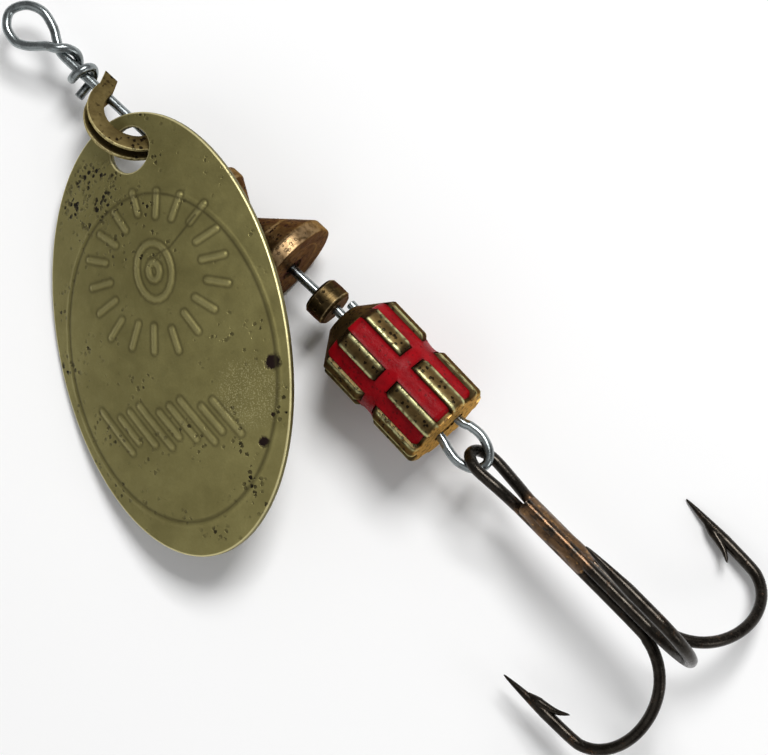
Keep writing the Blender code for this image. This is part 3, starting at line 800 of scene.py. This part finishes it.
def body_radius(x):
    """The body's outline without its grooves: the nose's cone, the barrel and the tail's round edge."""
    nose = BODY_NOSE + (BODY_RADIUS - BODY_NOSE) * np.clip(x / BODY_TAPER, 0, 1)
    tail = np.clip((x - BODY_LENGTH + BODY_TAIL_CHAMFER) / BODY_TAIL_CHAMFER, 0, 1)
    return nose - BODY_TAIL_CHAMFER * (1 - np.sqrt(np.clip(1 - tail**2, 0, 1)))


def body_surface(x, angle):
    """(radius, bright rims, dark corners) of the brass: ribs with round shoulders, standing on the grooves'
    floor. The bright rims are worn brass with a painted highlight, the dark corners dirt with painted shade.
    """
    from_side, from_ring = rib_depths(x, angle)
    outline = body_radius(x)
    side = np.clip(from_side / RIB_ROUND, 0, 1)
    end = np.clip(from_ring / (2.2 * RIB_ROUND), 0, 1)
    shoulder = RIB_ROUND * (1 - np.sqrt(1 - (1 - side) ** 2)) * 0.55 + 0.34 * (1 - end) ** 1.5
    inside = (from_side > 0) & (from_ring > 0)
    top = np.maximum(BODY_RADIUS - shoulder, GROOVE_FLOOR + 0.02)
    radius = np.where(inside, np.minimum(outline, top), np.minimum(outline, GROOVE_FLOOR))
    # Bright lines along both sides of each rib: worn brass, with a painted highlight
    rim = np.exp(-(((from_side - 0.13) / 0.08) ** 2)) * np.clip(from_ring / 0.3, 0, 1)
    wear_and_highlight = inside * rim * (x > BODY_TAPER)
    # Darker at the ribs' ends by the ring and at the foot of the nose: dirt, with painted shade in these
    # corners
    behind_nose = np.exp(-(((x - BODY_TAPER + 0.15) / 0.3) ** 2))
    grime_and_shade = inside * np.clip(1 - from_ring / 0.42, 0, 1) + 0.8 * behind_nose
    return radius, wear_and_highlight, grime_and_shade


def rib_angles():
    """Angles round the body, close together at the ribs' edges."""
    pitch, half = 2 * math.pi / RIBS, RIB_ANGLE / 2
    shoulder = RIB_ROUND / BODY_RADIUS
    offsets = [half + 0.002, half - 0.002] + [half - shoulder * t for t in (0.15, 0.35, 0.6, 0.85, 1.1, 1.5)]
    offsets = [-o for o in offsets] + list(np.linspace(-0.10, 0.10, 5)) + offsets[::-1]
    offsets += list(np.linspace(half + 0.03, pitch - half - 0.03, 9))
    return np.array([FIRST_RIB + rib * pitch + o for rib in range(RIBS) for o in offsets])


def body_stations():
    """Places along the body, close together at the ring's walls, the nose and the tail."""
    near = [0.004, 0.05, 0.11, 0.18, 0.26, 0.36]
    ring = [RING_START - d for d in near[::-1]] + [RING_START + 0.004, RING_START + 0.1]
    ring += [RING_END - 0.1, RING_END - 0.004] + [RING_END + d for d in near]
    nose = list(np.linspace(0, BODY_TAPER + 0.1, 22))
    barrel = list(np.linspace(1.75, RING_START - 0.5, 14)) + [RING_START + 0.5]
    barrel += list(np.linspace(RING_END + 0.5, BODY_LENGTH - 0.45, 16))
    tail = list(BODY_LENGTH - BODY_TAIL_CHAMFER * (1 - np.sin(np.linspace(0, math.pi / 2, 9))))
    return sorted({round(float(x), 5) for x in nose + ring + barrel + tail})


def round_x(x, radius, angle):
    """Points at a radius round X, at an angle from Z."""
    return np.stack([x, -radius * np.sin(angle), radius * np.cos(angle)], -1)


def bore_tool():
    """The slot that both legs of the wire pass through, in the body's frame."""
    radius = WIRE_RADIUS + BORE_GAP
    turn = Matrix.Rotation(math.radians(-BODY_TURN), 3, "Z")
    rows = []
    # Where each end of the slot is along the shaft, and from where to where its middle runs in Y
    for x, low, high in ((-5.2, -0.03, 0.90), (5.4, -1.40, 0.24)):
        ring = []
        for y, start in ((high, 0), (low, math.pi)):
            for k in range(13):
                angle = start + math.pi * k / 12
                point = Vector((x, y + radius * math.sin(angle), radius * math.cos(angle)))
                ring.append(turn @ (point - Vector(BODY_PLACE)))
        rows.append(ring)
    return grid_mesh("bore_tool", rows)


def make_body():
    angles = rib_angles()
    rows, wear_and_highlight_rings, grime_and_shade_rings = [], [], []
    for x in body_stations():
        radius, wear_and_highlight, grime_and_shade = body_surface(np.full(angles.shape, x), angles)
        rows.append(round_x(np.full(angles.shape, x), radius, angles))
        wear_and_highlight_rings.append(wear_and_highlight)
        grime_and_shade_rings.append(grime_and_shade)
    # The tail's flat face, in rings that shrink to its centre
    for shrink in (0.9, 0.75, 0.5, 0.25):
        rows.append(rows[-1] * np.array([1, shrink, shrink]))
        wear_and_highlight_rings.append(np.zeros(angles.shape))
        grime_and_shade_rings.append(np.zeros(angles.shape))
    mesh = grid_mesh("body_ribbed", rows)
    set_values(mesh, "wear_and_highlight", np.concatenate([*wear_and_highlight_rings, [0, 0]]))
    set_values(mesh, "grime_and_shade", np.concatenate([*grime_and_shade_rings, [0, 0]]))
    mesh = combined(mesh, [bore_tool()], "DIFFERENCE")
    along = vertices_of(mesh)[0]
    set_values(mesh, "gilt", np.clip((along - BODY_LENGTH + 0.12) / 0.1, 0, 1))
    light, dark, worn = (0.135, 0.088, 0.033), (0.046, 0.028, 0.010), (0.66, 0.65, 0.34)
    pits = {"pit_share": 1.2, "pit_size": 0.32, "mottle": 0.8}
    look = brass_look("body_tarnished_brass", light, dark, worn, (0.42, 0.60), **pits)
    where = placed(BODY_PLACE, (0, 0, BODY_TURN))
    add_piece("body_ribbed", mesh, where, look, "body", "ribbed_body", sharp=50)


def enamel_level(x, angle):
    """The enamel's surface: higher where it climbs the brass beside it, and thin where it starts."""
    from_side, from_ring = rib_depths(x, angle)
    to_wall = np.maximum(-from_side, -from_ring)
    climb = 0.10 * np.exp(-np.maximum(to_wall, 0) / 0.14)
    fade = np.clip((x - ENAMEL_START) / 0.35, 0, 1) * np.clip((ENAMEL_END - x) / 0.25, 0, 1)
    film = GROOVE_FLOOR + ENAMEL_FILM
    return film + (ENAMEL_LEVEL - film + climb) * np.sqrt(fade)


def enamel_stations():
    """Places along the enamel, and which of them are the first and the last over the middle ring."""
    start, end = RING_START + ENAMEL_GAP, RING_END - ENAMEL_GAP
    stations = [*(ENAMEL_START + 0.4 * np.linspace(0, 1, 8) ** 2)]
    stations += [*np.linspace(1.7, start - 0.2, 12), start]
    first = len(stations) - 1
    stations += [*np.linspace(start, end, 11)[1:]]
    last = len(stations) - 1
    stations += [*np.linspace(end + 0.2, ENAMEL_END - 0.3, 14)]
    stations += [*(ENAMEL_END - 0.25 * np.linspace(1, 0, 7) ** 2)]
    return stations, first, last


def enamel_angles():
    """Angles round the enamel, and for each one whether the cells that start there lie in a groove."""
    pitch, edge = 2 * math.pi / RIBS, RIB_ANGLE / 2 + ENAMEL_GAP / GROOVE_FLOOR
    angles, in_groove = [], []
    for rib in range(RIBS):
        centre = FIRST_RIB + rib * pitch
        across = np.linspace(edge, pitch - edge, 13)
        angles += [centre - edge / 2, centre, centre + edge / 2, *(centre + across)]
        in_groove += [False] * 3 + [True] * 12 + [False]
    return angles, in_groove


def skin_faces(inner, outer, filled):
    """Faces over and under the filled cells of two grids that wrap round, with walls where they end."""
    rows, columns = inner.shape
    faces = []
    for i in range(rows - 1):
        for j in range(columns):
            if not filled(i, j):
                continue
            n = (j + 1) % columns
            faces.append([outer[i, j], outer[i + 1, j], outer[i + 1, n], outer[i, n]])
            faces.append([inner[i, n], inner[i + 1, n], inner[i + 1, j], inner[i, j]])
            sides = [((i - 1, j), (i, n), (i, j)), ((i + 1, j), (i + 1, j), (i + 1, n))]
            sides += [((i, j - 1), (i, j), (i + 1, j)), ((i, j + 1), (i + 1, n), (i, n))]
            for beyond, a, b in sides:
                if not filled(*beyond):
                    faces.append([inner[a], inner[b], outer[b], outer[a]])
    return faces


def make_enamel():
    """One closed skin over the grooves' floor: a ring between the ribs' ends and a strip in every groove."""
    stations, first, last = enamel_stations()
    angles, in_groove = enamel_angles()

    def filled(i, j):
        return 0 <= i < len(stations) - 1 and (first <= i < last or in_groove[j % len(angles)])

    grid_x, grid_angle = np.meshgrid(stations, angles, indexing="ij")
    level = enamel_level(grid_x, grid_angle)
    floor = np.full(level.shape, GROOVE_FLOOR + ENAMEL_GAP)
    points = np.stack([round_x(grid_x, floor, grid_angle), round_x(grid_x, level, grid_angle)])
    inner, outer = np.arange(points.size // 3).reshape(points.shape[:3])
    used, faces = np.unique(skin_faces(inner, outer, filled), return_inverse=True)
    kept = points.reshape(-1, 3)[used]
    mesh = facing_out(mesh_of("enamel_flowed", kept, faces.reshape(-1, 4).tolist()))
    # Darker next to the ribs' and the ring's walls: painted shade, stored with the dirt in the grime mask
    from_side, from_ring = rib_depths(grid_x, grid_angle)
    shade = np.exp(-np.maximum(np.maximum(-from_side, -from_ring), 0) / 0.07)
    set_values(mesh, "grime_and_shade", np.stack([shade, shade]).reshape(-1)[used])
    where = placed(BODY_PLACE, (0, 0, BODY_TURN))
    add_piece("enamel_flowed", mesh, where, enamel_look(), "body", "red_enamel", sharp=60)


def spoke(roll, depth, radius):
    """A point in the treble's frame, at a depth along the shank and a radius out along the hook's roll."""
    return Vector((depth, -radius * math.sin(roll), radius * math.cos(roll)))


def hook_path(roll):
    """One hook from its shank to its point, in the treble's frame: X along the shank, Z up at roll 0."""
    points = [(EYE_END + 0.5, SHANK_OFFSET), (EYE_END + 1.5, SHANK_OFFSET), (BEND_START, SHANK_OFFSET)]
    for i in range(1, 7):
        angle = math.pi / 2 * i / 6
        along = BEND_START + (BEND_DEPTH - BEND_START) * math.sin(angle) ** 0.82
        points.append((along, SHANK_OFFSET + (BEND_RADIUS - SHANK_OFFSET) * (1 - math.cos(angle))))
    for i in range(1, 6):
        angle = math.pi / 2 * i / 5
        along = SPEAR_START + (BEND_DEPTH - SPEAR_START) * math.cos(angle)
        points.append((along, BEND_RADIUS + (SPEAR_RADIUS - BEND_RADIUS) * math.sin(angle)))
    points += [(POINT_DEPTH + 3.2, SPEAR_RADIUS + 0.1), (POINT_DEPTH, POINT_RADIUS)]
    return [spoke(roll, s, r) for s, r in points]


def tapered(path):
    """Radii that keep the wire's own as far as the last TAPER_LENGTH, then run down to the point."""
    left = [min(1.0, (point - path[-1]).length / TAPER_LENGTH) for point in path]
    return [POINT_TIP + (HOOK_WIRE - POINT_TIP) * share**0.7 for share in left]


def barb(roll):
    """The sliver cut up from the spear's inner side, pointing back at the bend."""
    line = [(11.0, 8.60), (12.1, 8.38), (13.0, 8.06), (13.7, 7.58)]
    path = smooth_path([spoke(roll, depth, radius) for depth, radius in line], 0.12)
    shares = [i / (len(path) - 1) for i in range(len(path))]
    radii = [0.02 + 0.33 * (1 - share) ** 0.6 * min(1.0, 0.35 + 2.5 * share) for share in shares]
    return tube("barb", path, radii, 16)


def eye_path():
    """The treble's eye, from the right-hand shank round to the left-hand one."""
    side = Vector((0, math.cos(EYE_ROLL), math.sin(EYE_ROLL)))
    eye = [(EYE_END - 0.9, 0.82), (EYE_START + 1.1, 1.0), (EYE_START + 0.25, 0.62)]
    eye = [Vector((depth, 0, 0)) + EYE_HALF_WIDTH * share * side for depth, share in eye]
    other_side = [Vector((p.x, -p.y, -p.z)) for p in reversed(eye)]
    return eye + [Vector((EYE_START, 0, 0))] + other_side


def make_hook(name, path, radii, hooks, look, node):
    """A bar with the barbs of its hooks, as a piece of the treble."""
    barbs = [barb(HOOK_ROLLS[hook]) for hook in hooks]
    mesh = combined(tube(name, path, radii, 24), barbs, "UNION")
    add_piece(name, mesh, TREBLE, look, "treble", node, sharp=50)


def make_treble():
    look = bronze_look()
    right, left = hook_path(HOOK_ROLLS["right"]), hook_path(HOOK_ROLLS["left"])
    path = smooth_path(right[::-1] + eye_path() + left, 0.15)
    half = len(path) // 2
    radii = tapered(path[:half][::-1])[::-1] + tapered(path[half:])
    make_hook("double_hook_forged", path, radii, ("left", "right"), look, "treble_double_hook")
    single = hook_path(HOOK_ROLLS["single"])
    single[0].x = SINGLE_START
    path = smooth_path(single, 0.15)
    radii = tapered(path)
    edge = 0.06
    path.insert(1, path[0] + Vector((edge, 0, 0)))
    radii = [radii[0] - edge] + radii
    make_hook("single_hook_forged", path, radii, ("single",), look, "treble_single_hook")


def make_braze():
    """Filler in the valleys between the three shanks, uneven along its length, with a way for each shank."""
    columns, count = 72, 60
    angles = np.linspace(0, 2 * math.pi, columns, endpoint=False)
    rows = []
    for i in range(count + 1):
        share = i / count
        depth = BRAZE_START + (BRAZE_END - BRAZE_START) * share
        ends = min(1.0, min(share, 1 - share) / 0.05) ** 0.5
        ripple = 0.035 * np.sin(3 * angles + 9 * share) + 0.03 * np.sin(14 * share + 2 * angles)
        radius = (BRAZE_VALLEY + ripple) * (0.72 + 0.28 * ends)
        rows.append(round_x(np.full(columns, depth), radius, angles))
    shanks = []
    for roll in HOOK_ROLLS.values():
        line = [spoke(roll, depth, SHANK_OFFSET) for depth in (BRAZE_START - 1, BRAZE_END + 1)]
        shanks.append(tube("shank", line, [HOOK_WIRE + 0.004] * 2, 48))
    mesh = combined(grid_mesh("braze_filler", rows), shanks, "DIFFERENCE")
    add_piece("braze_filler", mesh, TREBLE, braze_look(), "treble", "treble_braze", sharp=60)


# ---------------------------------------------------------------- studio


def make_camera():
    """The photograph's view: nearly straight down on the lure, with the shaft running down to the right."""
    distance, lean, roll = 0.175, math.radians(7.9), math.radians(43.0)
    aim = SHAFT @ Vector((0, -1.02 * MM, 0))
    back = Vector((math.sin(lean), 0, math.cos(lean)))
    along = Vector((math.cos(lean), 0, -math.sin(lean)))
    side = Vector((0, 1, 0))
    right = math.cos(roll) * along + math.sin(roll) * side
    up = math.cos(roll) * side - math.sin(roll) * along
    data = bpy.data.cameras.new("camera")
    data.sensor_width = 36.0
    data.lens = 136.7
    data.clip_start = 0.005
    data.clip_end = 20.0
    camera = new_object("camera", data)
    facing = Matrix((right, up, back)).transposed().to_4x4()
    camera.matrix_world = Matrix.Translation(aim + back * distance) @ facing
    bpy.context.scene.camera = camera


def add_light(name, place, size, power):
    """A square soft light that faces the lure."""
    data = bpy.data.lights.new(name, "AREA")
    data.size = size
    data.energy = power
    light = new_object(name, data)
    light.location = place
    light.rotation_euler = (-Vector(place)).to_track_quat("-Z", "Y").to_euler()


def make_studio():
    """A grey sky that is brighter at the horizon, and three soft lights."""
    bpy.context.scene.view_settings.view_transform = "Standard"
    world = bpy.data.worlds.new("studio")
    bpy.context.scene.world = world
    world.use_nodes = True
    nodes, links = world.node_tree.nodes, world.node_tree.links
    where = nodes.new("ShaderNodeTexCoord")
    height = nodes.new("ShaderNodeSeparateXYZ")
    ramp = nodes.new("ShaderNodeValToRGB")
    links.new(where.outputs["Generated"], height.inputs[0])
    links.new(height.outputs["Z"], ramp.inputs["Fac"])
    links.new(ramp.outputs["Color"], nodes["Background"].inputs["Color"])
    ramp.color_ramp.elements[0].position = 0.0
    ramp.color_ramp.elements[0].color = (0.55, 0.55, 0.55, 1)
    ramp.color_ramp.elements[1].position = 1.0
    ramp.color_ramp.elements[1].color = (0.20, 0.20, 0.20, 1)
    for position, shade in ((0.10, 0.26), (0.5, 0.22), (0.80, 0.20)):
        ramp.color_ramp.elements.new(position).color = (shade, shade, shade, 1)
    add_light("key", (-0.05, 0.24, 0.36), 0.16, 1.6)
    add_light("near_fill", (0.06, -0.34, 0.30), 0.50, 0.42)
    add_light("far_rim", (0.34, 0.10, 0.16), 0.14, 0.20)


def make_floor():
    corners = [(x * FLOOR_HALF, y * FLOOR_HALF, 0) for x, y in ((-1, -1), (1, -1), (1, 1), (-1, 1))]
    mesh = mesh_of("floor", corners, [[0, 1, 2, 3]])
    floor = new_object("floor", mesh)
    floor.location.z = cad_box[0].z - FLOOR_GAP * MM
    look = Look("pale_floor", (0.95, 0.95, 0.95), metallic=0.0, roughness=0.65)
    mesh.materials.append(look.material)


make_camera()
make_wire()
make_clevis()
make_blade()
make_collar()
make_bead()
make_body()
make_enamel()
make_treble()
make_braze()
make_studio()
make_floor()
